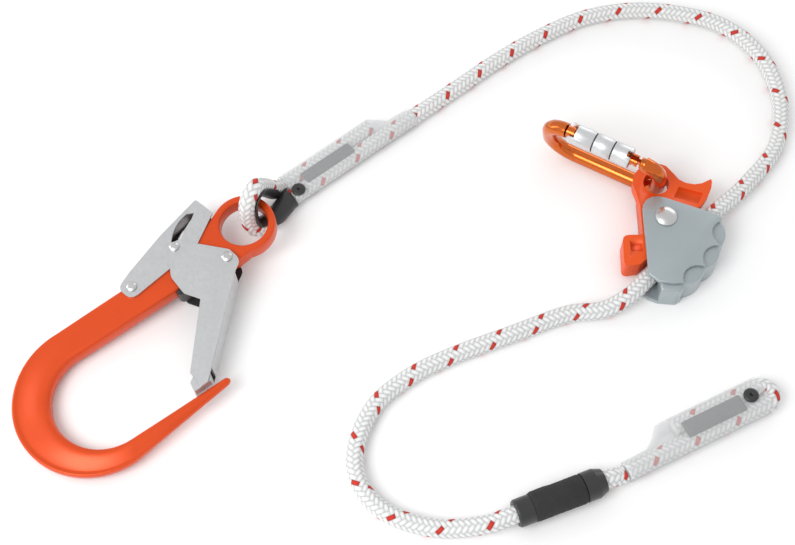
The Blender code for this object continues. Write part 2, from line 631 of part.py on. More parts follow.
def build_lever(axis, orange):
    """The lever with its eye, thumb horn and jaw, on the main rivet."""
    cam = [channel_line(10.3, 16.0), channel_line(12.1, 2.0), channel_line(12.1, -18.0)]
    body_edge = rounded([(-16.4, 22.0, 1), (-16.4, -12.0, 1), (-30.2, -12.5, 4), (-30.8, -36.8, 3),
                         (-20.0, -35.0, 2), *[(x, y, 1) for x, y in cam[::-1]], (14.0, 12.0, 1),
                         (8.0, 15.0, 1)], 3)
    lever = prism("cam_lever", body_edge, LEVER_Z[0], LEVER_Z[1], orange, axis)
    boss = arc(EYE, 16.2, 60, 205, 14)
    horn = [(34.9, 32.6), (35.4, 30.4), (34.4, 25.4), (31.6, 18.9), (27.4, 12.6), (24.4, 9.4)]
    sweep_in = [(9.5, 36.6), (12.5, 32.2), (17.0, 29.4), (23.0, 28.2), (28.5, 29.2)]
    arm_edge = boss + [(-16.4, 12.0), (0.0, 4.0), (20.0, 6.0)] + horn[::-1] + sweep_in[::-1]
    arm = prism("lever_arm_guide", arm_edge, EYE_Z, LEVER_Z[1] - 0.02, None, axis)
    under = prism("lever_under_guide", [(9.0, 45.0), (9.0, 16.5), (40.0, -6.0), (60.0, 45.0)],
                  0, 14.6, None, axis)
    combine(arm, under)
    combine(lever, arm, "UNION")
    hole(lever, "lever_bore_guide", (0, 0), 5.7, 0, 30, axis, sides=24)
    hole(lever, "spring_recess_guide", (0, 0), 10.2, 14.5, 30, axis, sides=24)
    hole(lever, "lever_eye_guide", EYE, EYE_R, 0, 30, axis, sides=28)
    pocket = prism("horn_pocket_guide", [(12.0, 26.4), (28.2, 21.4), (24.0, 12.5), (7.5, 17.8)],
                   18.4, 30, None, axis)
    combine(lever, pocket)
    window = prism("jaw_pocket_guide", [(-25.6, -17.0), (-16.8, -17.0), (-16.8, -25.0), (-25.6, -25.0)],
                   15.0, 30, None, axis)
    combine(lever, window)
    bevel(lever, 0.7, 2, 40)


# --- carabiner ------------------------------------------------------------------------------
def corner(center, radius, start, end, steps=6):
    return [(x, 0.0, z) for x, z in arc(center, radius, start, end, steps)]


def along_gate(x=0.0):
    """Lays a lathe's axis along the gate, from a station towards the eye."""
    return shift(x, 0, CARA_H) @ Matrix.Rotation(math.radians(90), 4, "Y")


def build_carabiner(root):
    copper = material("anodised_copper", (0.62, 0.13, 0.02), 0.22, 0.95)
    satin = material("sleeve_silver", (0.7, 0.71, 0.72), 0.3, 0.95)
    steel = bpy.data.materials["pin_steel"]
    spine_z = CARA_BAR / 2 + 0.3
    lean = Matrix.Rotation(math.radians(CARA_LEAN), 4, "X")
    swing = frame("carabiner_axis", shift(RIVET[0] + EYE[0], RIVET[1] + EYE[1], spine_z, CARA_TURN), root)
    plane = frame("carabiner_plane", shift(0, CARA_SIDE) @ lean, swing)

    left, right = CARA_L
    nose, heel = GATE_SPAN
    top = CARA_H
    path = corner((right - 12.5, top - 12.5), 12.5, 86, 0)
    path += corner((right - 11.0, 11.0), 11.0, 0, -90)
    path += corner((left + 20.0, 20.0), 20.0, -90, -180) + corner((left + 14.5, top - 14.5), 14.5, 180, 94)
    body = tube("carabiner_body", path, CARA_BAR, copper, plane, resolution=3)
    neck = lathe("carabiner_neck_guide", [(0, -6.0), (4.2, -6.0), (4.2, -0.5), (0, -0.5)],
                 None, plane, along_gate(nose), 16)
    heel_neck = lathe("carabiner_heel_guide", [(0, 2.0), (4.2, 2.0), (4.2, 6.0), (0, 6.0)],
                      None, plane, along_gate(heel), 16)
    body = mesh_body(body)
    combine(body, neck, "UNION")
    combine(body, heel_neck, "UNION")
    tongue = prism("hinge_tongue_guide", [(heel - 5, -1.2), (heel + 3, -1.2), (heel + 3, 1.2),
                                          (heel - 5, 1.2)], top - 3.2, top + 3.2, None, plane)
    combine(body, tongue, "UNION")

    gate = frame("carabiner_gate_axis", shift(heel - 2.5, 0, top), plane)
    back = shift(2.5 - heel, 0, -top)
    rod = lathe("carabiner_gate", [(0, 0), (4.2, 0), (4.2, heel - nose), (0, heel - nose)], copper,
                gate, back @ along_gate(nose), 20)
    hinge = Matrix.Rotation(math.radians(90), 4, "X")
    drill = lathe("gate_pin_hole_guide", [(0, -9), (1.35, -9), (1.35, 9), (0, 9)], None, gate, hinge, 12)
    combine(rod, drill)
    combine(body, drill)
    fork = prism("gate_fork_guide", [(heel - 7, -1.6), (heel + 1, -1.6), (heel + 1, 1.6),
                                     (heel - 7, 1.6)], top - 6, top + 6, None, gate, back)
    combine(rod, fork)
    lathe("gate_hinge_pin", [(0, -4.0), (1.25, -4.0), (1.25, 4.0), (0, 4.0)], steel, plane,
          shift(heel - 2.5, 0, top) @ hinge, 12)

    slider = frame("sleeve_slide_axis", shift(), gate)
    lathe("sleeve_collar", [(4.5, 34.0), (6.2, 34.0), (6.2, 37.0), (4.5, 37.0)], steel, slider,
          back @ along_gate(nose), 20)
    twist = frame("sleeve_twist_axis", shift(), slider)
    outer = SLEEVE_R
    profile = [(4.6, -3.6), (outer - 0.4, -3.6), (outer, -3.2), (outer, 13.4), (outer - 0.7, 13.9),
               (outer - 0.7, 14.9), (outer, 15.4), (outer, 27.4), (outer - 0.7, 27.9), (outer - 0.7, 28.9),
               (outer, 29.4), (outer, 41.4), (outer - 0.5, 42.0), (4.6, 42.0), (4.6, 37.6), (6.6, 37.6),
               (6.6, 33.4), (4.6, 33.4)]
    sleeve = lathe("twist_sleeve", profile, satin, twist, back @ along_gate(nose), 24)
    slot_edge = [(nose - 6, -4.8), (nose + 0.8, -4.8), (nose + 0.8, 4.8), (nose - 6, 4.8)]
    slot = prism("nose_slot_guide", slot_edge, top - 4.6, top + 12.0, None, twist, back)
    combine(sleeve, slot)
    slot_edge = [(heel - 8.0, -2.2), (heel - 4.0, -2.2), (heel - 4.0, 2.2), (heel - 8.0, 2.2)]
    slot = prism("heel_slot_guide", slot_edge, top, top + 12.0, None, twist, back)
    combine(sleeve, slot)


def mesh_body(obj):
    """Gives a curve object the mesh that it makes, so that solids can be added to it."""
    depsgraph = bpy.context.evaluated_depsgraph_get()
    mesh = bpy.data.meshes.new_from_object(obj.evaluated_get(depsgraph))
    mesh.materials.clear()
    name = obj.name
    mat = obj.data.materials[0]
    parent = obj.parent
    bpy.data.objects.remove(obj)
    return add_object(name, mesh, mat, parent, shift())


def main():
    for obj in list(bpy.data.objects):
        bpy.data.objects.remove(obj)
    root = frame("lanyard", shift(*CENTRING))
    build_rope(root)
    build_hook(root)
    build_hook_end(root)
    build_stopper(root)
    build_tail_end(root)
    build_grab(root)
    build_carabiner(root)


main()
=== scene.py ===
# %% [markdown]
# # A rope grab on its work positioning lanyard
# The CAD frame is loaded first. It holds every rigid piece in its place, so each detail below is
# measured from it. Distances are in metres; the route tables are in millimetres.

# %% Load the frame
import bmesh
import bpy
import json
import math
import random
from mathutils import Matrix, Vector


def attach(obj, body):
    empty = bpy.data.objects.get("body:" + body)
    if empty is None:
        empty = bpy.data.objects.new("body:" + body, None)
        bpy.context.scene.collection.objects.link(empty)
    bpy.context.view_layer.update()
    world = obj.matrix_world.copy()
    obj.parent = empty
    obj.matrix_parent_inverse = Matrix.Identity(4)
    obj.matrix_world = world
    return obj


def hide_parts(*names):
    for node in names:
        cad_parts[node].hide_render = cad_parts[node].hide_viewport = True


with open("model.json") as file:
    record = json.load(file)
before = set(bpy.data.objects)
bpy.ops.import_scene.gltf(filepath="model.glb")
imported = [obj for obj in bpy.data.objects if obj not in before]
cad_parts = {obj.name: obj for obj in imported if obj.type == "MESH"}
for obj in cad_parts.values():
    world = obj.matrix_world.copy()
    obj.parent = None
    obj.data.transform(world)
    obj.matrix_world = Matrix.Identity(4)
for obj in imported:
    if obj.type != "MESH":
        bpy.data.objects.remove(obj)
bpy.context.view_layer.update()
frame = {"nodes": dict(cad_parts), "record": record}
nodes = frame["nodes"]
scene = bpy.context.scene
MM = 0.001

# %% [markdown]
# Each group of pieces has its own small coordinate frame, the same one that the CAD part was built in.
# `put` makes such a frame from a place and a turn.

# %% Local frames
SHIFT = Vector((3.7, -0.3, 0.0))      # puts the middle of the whole part over the origin
TAIL_AT, TAIL_TURN = (143.2, -120.4), 26.4
STOPPER_AT, STOPPER_TURN = (70.7, -149.2, 10.0), 21.6
GRAB_AT, GRAB_TURN = (181.0, 58.6), 45.4
GRAB_CHANNEL = 18.75                  # from the grab's pivot to the middle of its rope channel


def put(x=0.0, y=0.0, z=0.0, turn=0.0):
    return Matrix.Translation(Vector((x, y, z)) * MM) @ Matrix.Rotation(math.radians(turn), 4, "Z")


ROOT = Matrix.Translation(SHIFT * MM)
HOOK = ROOT @ put(-108.3, 53.0, 19.3, -144.0) @ Matrix.Rotation(math.radians(3.7), 4, "Y")
HOOK_END = ROOT @ put(-85.5, 87.4, 0, 38.7)
TAIL_END = ROOT @ put(*TAIL_AT, 0, TAIL_TURN)
STOPPER = ROOT @ put(*STOPPER_AT, STOPPER_TURN) @ Matrix.Rotation(math.radians(90), 4, "Y")
print("hook ring centre", [round(v, 4) for v in HOOK.translation])

# %% [markdown]
# The camera looks down at the floor, about sixty degrees above it. A large soft panel overhead and two
# weaker ones, on the left and at the back, give the small highlights and the soft contact shadow.

# %% Camera, lights and floor
cam = bpy.data.objects.new("camera", bpy.data.cameras.new("camera"))
scene.collection.objects.link(cam)
cam.location = (0.0004, -0.4391, 0.8776)
cam.rotation_euler = (math.radians(28), 0, 0)
cam.data.lens = 65.15
cam.data.sensor_width = 36
cam.data.dof.use_dof = False
scene.camera = cam


def panel(name, place, aim, size, watts):
    data = bpy.data.lights.new(name, "AREA")
    data.shape = "RECTANGLE"
    data.size, data.size_y = size
    data.energy = watts
    light = bpy.data.objects.new(name, data)
    light.location = place
    light.rotation_euler = (Vector(aim) - Vector(place)).to_track_quat("-Z", "Y").to_euler()
    scene.collection.objects.link(light)
    return light


lights = [
    panel("overhead_panel", (-0.7, -0.6, 1.1), (0.05, 0, 0), (0.8, 0.8), 11),
    panel("left_panel", (-1.2, 0.3, 0.4), (0, 0, 0), (0.3, 0.9), 2.5),
    panel("far_panel", (0.7, 1.2, 0.35), (0, 0, 0), (1.0, 0.25), 2.5),
]
world = bpy.data.worlds.new("studio")
scene.world = world
world.use_nodes = True
world.node_tree.nodes["Background"].inputs[0].default_value = (1, 1, 1, 1)
world.node_tree.nodes["Background"].inputs[1].default_value = 0.74
scene.view_settings.view_transform = "Standard"


def plain(name, colour, rough=0.5, metal=0.0, coat=0.0):
    mat = bpy.data.materials.new(name)
    mat.use_nodes = True
    shader = mat.node_tree.nodes["Principled BSDF"]
    shader.inputs["Base Color"].default_value = (*colour, 1)
    shader.inputs["Roughness"].default_value = rough
    shader.inputs["Metallic"].default_value = metal
    shader.inputs["Coat Weight"].default_value = coat
    return mat


mesh = bpy.data.meshes.new("floor")
mesh.from_pydata([(-4, -4, 0), (4, -4, 0), (4, 4, 0), (-4, 4, 0)], [], [(0, 1, 2, 3)])
mesh.materials.append(plain("floor_white", (0.96, 0.96, 0.96), 0.7))
floor = bpy.data.objects.new("floor", mesh)
scene.collection.objects.link(floor)
print("lights", len(lights))

# %% [markdown]
# Shader groups hold the effects that several materials share. A small helper adds one math node and
# links whatever it is given, so a formula reads from left to right.

# %% Node helpers
def math_node(tree, operation, *values):
    node = tree.nodes.new("ShaderNodeMath")
    node.operation = operation
    for socket, value in zip(node.inputs, values):
        if isinstance(value, (int, float)):
            socket.default_value = value
        else:
            tree.links.new(value, socket)
    return node.outputs[0]


def new_group(name, outputs, inputs=()):
    tree = bpy.data.node_groups.new(name, "ShaderNodeTree")
    for label, kind, value in inputs:
        socket = tree.interface.new_socket(label, in_out="INPUT", socket_type=kind)
        socket.default_value = value
    for label, kind in outputs:
        tree.interface.new_socket(label, in_out="OUTPUT", socket_type=kind)
    return tree, tree.nodes.new("NodeGroupInput"), tree.nodes.new("NodeGroupOutput")


def mix(tree, factor, a, b):
    node = tree.nodes.new("ShaderNodeMix")
    node.data_type = "RGBA"
    for socket, value in ((node.inputs[0], factor), (node.inputs[6], a), (node.inputs[7], b)):
        if isinstance(value, (float, int)):
            socket.default_value = value
        elif isinstance(value, tuple):
            socket.default_value = (*value, 1)
        else:
            tree.links.new(value, socket)
    return node.outputs[2]


def noise(tree, scale, detail=3.0, stretch=None):
    """Noise in object space, which may be stretched along an axis."""
    node = tree.nodes.new("ShaderNodeTexNoise")
    node.inputs["Scale"].default_value = scale
    node.inputs["Detail"].default_value = detail
    place = tree.nodes.new("ShaderNodeMapping")
    where = tree.nodes.new("ShaderNodeTexCoord")
    tree.links.new(where.outputs["Object"], place.inputs["Vector"])
    if stretch is not None:
        place.inputs["Scale"].default_value = stretch
    tree.links.new(place.outputs[0], node.inputs["Vector"])
    return node.outputs["Fac"]


def spread(tree, value, low, high):
    node = tree.nodes.new("ShaderNodeMapRange")
    tree.links.new(value, node.inputs[0])
    node.inputs[3].default_value = low
    node.inputs[4].default_value = high
    return node.outputs[0]


# %% [markdown]
# The rope's cover is a regular braid: eight strands each way, each passing over two and under two.
# Both strand counters are kept in the UV map, so the shader can tell which strand is on top at any
# point, and one strand of the eight is the red tracer. The colour also carries painted shade: it is
# darker where a strand goes under and in the creases between its yarns.

# %% Braid shader
STRANDS = 8
LAY = 31.0        # length of one turn of a strand, in millimetres
ROPE_SIDES, ROPE_STEP = 32, 0.9      # points round the rope, and how far apart its rings are


def braid_group():
    tree, _, out = new_group("braid", [("Color", "NodeSocketColor"), ("Height", "NodeSocketFloat")])
    uv = tree.nodes.new("ShaderNodeUVMap")
    uv.uv_map = "braid"
    parts = tree.nodes.new("ShaderNodeSeparateXYZ")
    tree.links.new(uv.outputs[0], parts.inputs[0])
    p, q = parts.outputs[0], parts.outputs[1]
    i = math_node(tree, "FLOOR", p)
    j = math_node(tree, "FLOOR", q)
    phase = math_node(tree, "FLOORED_MODULO", math_node(tree, "ADD", i, j), 4.0)
    over = math_node(tree, "LESS_THAN", phase, 1.5)
    under = math_node(tree, "SUBTRACT", 1.0, over)
    fp = math_node(tree, "SUBTRACT", p, i)
    fq = math_node(tree, "SUBTRACT", q, j)
    across = math_node(tree, "ADD", math_node(tree, "MULTIPLY", fp, over),
                       math_node(tree, "MULTIPLY", fq, under))
    along_p = math_node(tree, "MULTIPLY", math_node(tree, "ADD", fq, phase), over)
    late = math_node(tree, "SUBTRACT", phase, 2.0)
    along_q = math_node(tree, "MULTIPLY", math_node(tree, "ADD", fp, late), under)
    along = math_node(tree, "ADD", along_p, along_q)
    round_over = math_node(tree, "SINE", math_node(tree, "MULTIPLY", across, math.pi))
    length_over = math_node(tree, "SINE", math_node(tree, "MULTIPLY", along, math.pi / 2))
    height = math_node(tree, "MULTIPLY", math_node(tree, "POWER", round_over, 0.6),
                       math_node(tree, "POWER", length_over, 0.45))
    yarns = math_node(tree, "ABSOLUTE",
                      math_node(tree, "SINE", math_node(tree, "MULTIPLY", across, 4 * math.pi)))
    first = math_node(tree, "LESS_THAN", math_node(tree, "FLOORED_MODULO", i, float(STRANDS)), 0.5)
    tracer = math_node(tree, "MULTIPLY", first, over)
    dirt = noise(tree, 90.0)
    white = mix(tree, dirt, (0.83, 0.84, 0.84), (0.9, 0.9, 0.89))
    thread = mix(tree, tracer, white, (0.62, 0.035, 0.02))
    # Painted shade: the colour darkens towards 0.22 where a strand sinks under its neighbours, and a little
    # in the creases between its yarns.
    shade = spread(tree, height, 0.42, 1.0)
    shade = math_node(tree, "MULTIPLY", shade, spread(tree, yarns, 0.93, 1.0))
    painted_groove_shade = mix(tree, shade, (0.22, 0.23, 0.24), (1.0, 1.0, 1.0))
    thread_and_painted_shade = tree.nodes.new("ShaderNodeMix")
    thread_and_painted_shade.data_type = "RGBA"
    thread_and_painted_shade.blend_type = "MULTIPLY"
    thread_and_painted_shade.inputs[0].default_value = 1.0
    tree.links.new(thread, thread_and_painted_shade.inputs[6])
    tree.links.new(painted_groove_shade, thread_and_painted_shade.inputs[7])
    tree.links.new(thread_and_painted_shade.outputs[2], out.inputs["Color"])
    relief = math_node(tree, "ADD", height, math_node(tree, "MULTIPLY", yarns, 0.12))
    tree.links.new(relief, out.inputs["Height"])
    return tree


def grouped(name, tree, rough, metal=0.0, coat=0.0, strength=0.3, distance=0.0003, **values):
    """A material whose group gives its colour, its bump and, where it has one, its roughness."""
    mat = plain(name, (0.8, 0.8, 0.8), rough, metal, coat)
    net = mat.node_tree
    shader = net.nodes["Principled BSDF"]
    node = net.nodes.new("ShaderNodeGroup")
    node.node_tree = tree
    for label, value in values.items():
        node.inputs[label.replace("_", " ").title()].default_value = value
    net.links.new(node.outputs["Color"], shader.inputs["Base Color"])
    if "Roughness" in node.outputs:
        net.links.new(node.outputs["Roughness"], shader.inputs["Roughness"])
    bump = net.nodes.new("ShaderNodeBump")
    bump.inputs["Strength"].default_value = strength
    bump.inputs["Distance"].default_value = distance
    net.links.new(node.outputs["Height"], bump.inputs["Height"])
    net.links.new(bump.outputs[0], shader.inputs["Normal"])
    return mat


rope_mat = grouped("braided_rope", braid_group(), 0.85, strength=0.6, distance=0.0005)
print("braid nodes", len(bpy.data.node_groups["braid"].nodes))

# %% [markdown]
# A rope is a tube around a smooth line through its route. Its surface follows the strands: a strand
# stands proud where it lies on top and sinks where it goes under.

# %% Rope builder
def smooth_line(spots, spacing):
    """A line through all the spots, as evenly spaced points, in millimetres."""
    spots = [Vector(s) for s in spots]
    pts = [2 * spots[0] - spots[1], *spots, 2 * spots[-1] - spots[-2]]
    dense = []
    for a, b, c, d in zip(pts, pts[1:], pts[2:], pts[3:]):
        for k in range(40):
            t = k / 40
            dense.append(0.5 * (2 * b + (c - a) * t + (2 * a - 5 * b + 4 * c - d) * t * t
                                + (3 * b - a - 3 * c + d) * t * t * t))
    dense.append(pts[-2])
    run = [0.0]
    for a, b in zip(dense, dense[1:]):
        run.append(run[-1] + (b - a).length)
    count = max(2, round(run[-1] / spacing))
    line = []
    j = 0
    for i in range(count + 1):
        want = run[-1] * i / count
        while j < len(run) - 2 and run[j + 1] < want:
            j += 1
        part = (want - run[j]) / max(run[j + 1] - run[j], 1e-9)
        line.append(dense[j].lerp(dense[j + 1], min(max(part, 0.0), 1.0)))
    return line


def line_length(line):
    return sum((b - a).length for a, b in zip(line, line[1:]))


def braid_height(p, q):
    i, j = math.floor(p), math.floor(q)
    phase = (i + j) % 4
    if phase < 2:
        across, along = p - i, q - j + phase
    else:
        across, along = q - j, p - i + phase - 2
    return math.sin(math.pi * across) ** 0.6 * max(math.sin(math.pi * along / 2), 0.0) ** 0.45


def add_mesh(name, verts, faces, mat, place):
    mesh = bpy.data.meshes.new(name)
    mesh.from_pydata([place @ (Vector(v) * MM) for v in verts], [], faces)
    mesh.materials.append(mat)
    mesh.polygons.foreach_set("use_smooth", [True] * len(mesh.polygons))
    obj = bpy.data.objects.new(name, mesh)
    scene.collection.objects.link(obj)
    return obj


def rope(name, spots, diameter, place, start=0.0):
    """A braided rope along a route; `start` is how far along its lay the strands begin."""
    sides = ROPE_SIDES
    line = smooth_line(spots, ROPE_STEP)
    base = diameter / 2 - 0.3
    side = Vector((0, 0, 1))
    verts, loops = [], []
    run = start
    count = len(line)
    for n, point in enumerate(line):
        way = (line[min(n + 1, count - 1)] - line[max(n - 1, 0)]).normalized()
        side = (side - way * side.dot(way)).normalized()
        other = way.cross(side)
        if n:
            run += (point - line[n - 1]).length
        loops.append([])
        for k in range(sides + 1):
            turn = STRANDS * k / sides
            p, q = turn + STRANDS * run / LAY, turn - STRANDS * run / LAY
            loops[-1].append((p, q))
            if k < sides:
                angle = 2 * math.pi * k / sides
                radius = base + 0.38 * braid_height(p, q)
                verts.append(point + (side * math.cos(angle) + other * math.sin(angle)) * radius)
    faces = []
    for n in range(count - 1):
        for k in range(sides):
            a, b = n * sides + k, n * sides + (k + 1) % sides
            faces.append((a, b, b + sides, a + sides))
    faces.append(tuple(range(sides))[::-1])
    faces.append(tuple(range((count - 1) * sides, count * sides)))
    obj = add_mesh(name, verts, faces, rope_mat, place)
    uv = obj.data.uv_layers.new(name="braid")
    values = []
    for n in range(count - 1):
        for k in range(sides):
            for row, col in ((n, k), (n, k + 1), (n + 1, k + 1), (n + 1, k)):
                values.extend(loops[row][col])
    values.extend([1.5, 0.5] * (2 * sides))
    uv.data.foreach_set("uv", values)
    return obj, line


print("lay of the braid", LAY, "mm, strands each way", STRANDS)

# %% [markdown]
# The free rope leaves the sleeve at the hook's end, makes a wide bend, runs through the grab, makes a
# second bend, passes through the stopper and ends in the sleeve at the tail.

# %% The free rope
END_LEVEL = 7.2     # height of the rope's middle in both sewn ends
ROUTE_IN = [(8.0, 152.1, 7.2), (15.5, 158.1, 6.8), (40.0, 178.0, 6.1), (69.8, 202.1, 6.1),
            (101.8, 224.0, 6.1), (136.0, 241.9, 6.1), (172.6, 249.8, 6.1), (209.0, 247.0, 6.1),
            (242.8, 234.7, 6.1), (267.7, 206.4, 6.1), (276.6, 166.0, 6.1), (268.0, 126.0, 6.3),
            (243.0, 93.5, 8.2), (225.5, 76.3, 10.4)]
ROUTE_OUT = [(152.3, 3.6, 10.2), (135.0, -4.8, 7.2), (110.7, -7.6, 6.1), (72.0, -22.9, 6.1),
             (33.9, -38.0, 6.1), (5.0, -53.2, 6.1), (-19.1, -75.3, 6.1), (-30.6, -106.6, 6.1),
             (-25.8, -131.2, 6.1), (-8.1, -148.1, 6.1), (21.2, -157.1, 6.4), (50.0, -156.0, 9.0)]


def ahead(x, y, z, turn, runs):
    turn = math.radians(turn)
    return [(x + run * math.cos(turn), y + run * math.sin(turn), z) for run in runs]


def whole_route():
    turn = math.radians(GRAB_TURN)
    channel = (GRAB_AT[0] + GRAB_CHANNEL * math.sin(turn),
               GRAB_AT[1] - GRAB_CHANNEL * math.cos(turn), 11.0)
    return (ROUTE_IN + ahead(*channel, GRAB_TURN, (33.0, 0.0, -36.0)) + ROUTE_OUT
            + ahead(*STOPPER_AT, STOPPER_TURN, (-5.0, 25.0, 60.0))
            + ahead(*TAIL_AT, END_LEVEL, TAIL_TURN, (-6.0, -1.6)))


free_rope, free_line = rope("free_rope", whole_route(), 12.0, ROOT)
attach(free_rope, "lanyard")
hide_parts("rope")

# %% [markdown]
# The finishes of the hard pieces. Coated, brushed and moulded surfaces are three groups built the same
# way: a broad change of tone, fine grain that can be stretched into brush lines, and roughness that
# varies with the grain.

# %% Surface groups
def surface_group(name, scale, stretch, grain):
    tree, inside, out = new_group(
        name,
        [("Color", "NodeSocketColor"), ("Roughness", "NodeSocketFloat"), ("Height", "NodeSocketFloat")],
        [("Base", "NodeSocketColor", (0.5, 0.5, 0.5, 1)), ("Worn", "NodeSocketColor", (0.5, 0.5, 0.5, 1)),
         ("Rough Low", "NodeSocketFloat", 0.3), ("Rough High", "NodeSocketFloat", 0.5)])
    broad = noise(tree, 28.0, 4.0)
    fine = noise(tree, scale, 3.0, stretch=stretch)
    tone = math_node(tree, "MULTIPLY", broad, fine)
    colour = tree.nodes.new("ShaderNodeMix")
    colour.data_type = "RGBA"
    tree.links.new(spread(tree, tone, 0.0, 1.6), colour.inputs[0])
    tree.links.new(inside.outputs["Base"], colour.inputs[6])
    tree.links.new(inside.outputs["Worn"], colour.inputs[7])
    tree.links.new(colour.outputs[2], out.inputs["Color"])
    rough = tree.nodes.new("ShaderNodeMapRange")
    tree.links.new(fine, rough.inputs[0])
    tree.links.new(inside.outputs["Rough Low"], rough.inputs[3])
    tree.links.new(inside.outputs["Rough High"], rough.inputs[4])
    tree.links.new(rough.outputs[0], out.inputs["Roughness"])
    height = math_node(tree, "ADD", math_node(tree, "MULTIPLY", fine, grain), broad)
    tree.links.new(height, out.inputs["Height"])
    return tree


coated = surface_group("coated_metal", 900.0, (1, 1, 1), 0.5)
brushed = surface_group("brushed_metal", 400.0, (1, 1, 9), 1.0)
moulded = surface_group("moulded_plastic", 1500.0, (1, 1, 1), 1.0)


def finish_mat(name, group, base, worn, low, high, metal, coat=0.0, strength=0.1, distance=0.0002):
    return grouped(name, group, 0.4, metal, coat, strength, distance, base=(*base, 1),
                   worn=(*worn, 1), rough_low=low, rough_high=high)


mats = {
    "hook_orange": finish_mat("hook_coating", coated, (0.74, 0.075, 0.006), (0.62, 0.055, 0.005),
                              0.24, 0.36, 0.3),
    "lever_orange": finish_mat("lever_coating", coated, (0.85, 0.095, 0.006), (0.75, 0.075, 0.005),
                               0.35, 0.47, 0.2),
    "satin_silver": finish_mat("satin_plate", brushed, (0.56, 0.57, 0.58), (0.68, 0.69, 0.7),
                               0.3, 0.46, 0.8),
    "pin_steel": finish_mat("bright_steel", brushed, (0.62, 0.62, 0.62), (0.72, 0.72, 0.72),
                            0.3, 0.42, 1.0),
    "housing_grey": finish_mat("housing_coating", coated, (0.36, 0.41, 0.43), (0.42, 0.47, 0.49),
                               0.32, 0.42, 0.45, 0.15),
    "anodised_copper": finish_mat("anodised_orange", coated, (0.75, 0.17, 0.025), (0.6, 0.11, 0.015),
                                  0.14, 0.24, 0.9, 0.3),
    "sleeve_silver": finish_mat("turned_aluminium", brushed, (0.66, 0.67, 0.68), (0.78, 0.79, 0.8),
                                0.34, 0.48, 0.9),
    "black_plastic": finish_mat("black_moulding", moulded, (0.018, 0.018, 0.019), (0.035, 0.035, 0.037),
                                0.32, 0.5, 0.0, 0.1),
    "stopper_wrap_black": finish_mat("black_wrap", moulded, (0.012, 0.012, 0.013), (0.05, 0.05, 0.052),
                                     0.8, 0.95, 0.0, 0.0, 0.8, 0.0006),
    "dark_thread": finish_mat("dark_stitching", moulded, (0.012, 0.012, 0.013), (0.05, 0.05, 0.052),
                              0.75, 0.9, 0.0, 0.0, 0.5, 0.0004),
    "milky_sleeve": finish_mat("milky_film", moulded, (0.74, 0.75, 0.76), (0.84, 0.85, 0.86),
                               0.18, 0.3, 0.0, 0.3),
}
FILM_ALPHA = 0.22     # the rope and its thread show through the film
mats["milky_sleeve"].node_tree.nodes["Principled BSDF"].inputs["Alpha"].default_value = FILM_ALPHA
print("finishes", len(mats))

# %% [markdown]
# Each hard piece starts from the CAD node's own surface, with its corners joined so that curved faces
# shade smoothly and real edges stay sharp. It then stands in for the node, in the node's body.

# %% Hard pieces
slots = {s["node"]: s["material_slot"] for s in frame["record"]["subparts"]}
SHARP_ANGLE = 38.0
body_of = {n: b for b, members in frame["record"]["behaviour"]["bodies"].items() for n in members}


def hard_piece(node):
    """A copy of a node's surface, welded, with smooth shading up to SHARP_ANGLE."""
    bm = bmesh.new()
    bm.from_mesh(nodes[node].data)
    bmesh.ops.remove_doubles(bm, verts=bm.verts, dist=0.00002)
    bmesh.ops.dissolve_limit(bm, angle_limit=math.radians(0.5), verts=bm.verts, edges=bm.edges)
    mesh = bpy.data.meshes.new(node + "_surface")
    bm.to_mesh(mesh)
    bm.free()
    mesh.polygons.foreach_set("use_smooth", [True] * len(mesh.polygons))
    mesh.set_sharp_from_angle(angle=math.radians(SHARP_ANGLE))
    mesh.materials.clear()
    mesh.materials.append(mats[slots[node]])
    obj = bpy.data.objects.new(node + "_surface", mesh)
    scene.collection.objects.link(obj)
    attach(obj, body_of[node])
    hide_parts(node)
    return obj


OWN_SHAPE = {"rope", "hook_eye_rope", "tail_loop_rope", "hook_body", "thimble", "stopper_wrap",
             "hook_end_stud", "tail_stud"}
hard = {name: hard_piece(name) for name in nodes if name not in OWN_SHAPE}

# Painted shade: the plates of the gate and the lock lever get a near-black material on their inside
# faces, standing in for the shade where no light reaches them.
painted_shade_mat = finish_mat("painted_recess_shade", moulded, (0.012, 0.012, 0.012), (0.03, 0.03, 0.03), 0.6, 0.8, 0.0)
up = (HOOK.to_3x3() @ Vector((0, 0, 1))).normalized()
for name in ("hook_gate", "lock_lever"):
    mesh = hard[name].data
    mesh.materials.append(painted_shade_mat)
    for poly in mesh.polygons:
        height = (HOOK.inverted() @ poly.center).z / MM
        facing = poly.normal.dot(up)
        if (height < -5 and facing > 0.7) or (height > 5 and facing < -0.7):
            poly.material_index = 1
print("hard pieces", len(hard))

# %% [markdown]
# The sewn rope ends are braided in the same way: one leg goes round the thimble and back, the other
# makes a short loop at the tail. The sleeves over them are clear enough to show the braid.

# %% Sewn rope ends
EYE_LOOP = [(14.0, 3.9, 7.2), (5.0, 3.9, 7.3), (-3.5, 3.9, 12.0), (-10.0, 3.2, 22.5),
            (-20.5, -1.5, 37.8), (-30.5, -6.0, 34.2), (-34.0, -9.6, 20.0), (-31.5, -12.6, 9.4),
            (-21.0, -13.6, 6.0), (-8.0, -10.8, 6.4), (2.0, -8.2, 7.1), (12.0, -8.0, 7.2)]
EYE_MIDDLE = Vector((-17.0, -6.5, 20.5))


def eye_route():
    upper_leg = [(run, 3.9, END_LEVEL) for run in (83.0, 60.0, 30.0)]
    lower_leg = [(run, -8.0, END_LEVEL) for run in (30.0, 60.0, 90.0, 113.0)]
    return upper_leg + EYE_LOOP + lower_leg


TAIL_BEND = 6.35     # radius of the turn at the very end of the tail


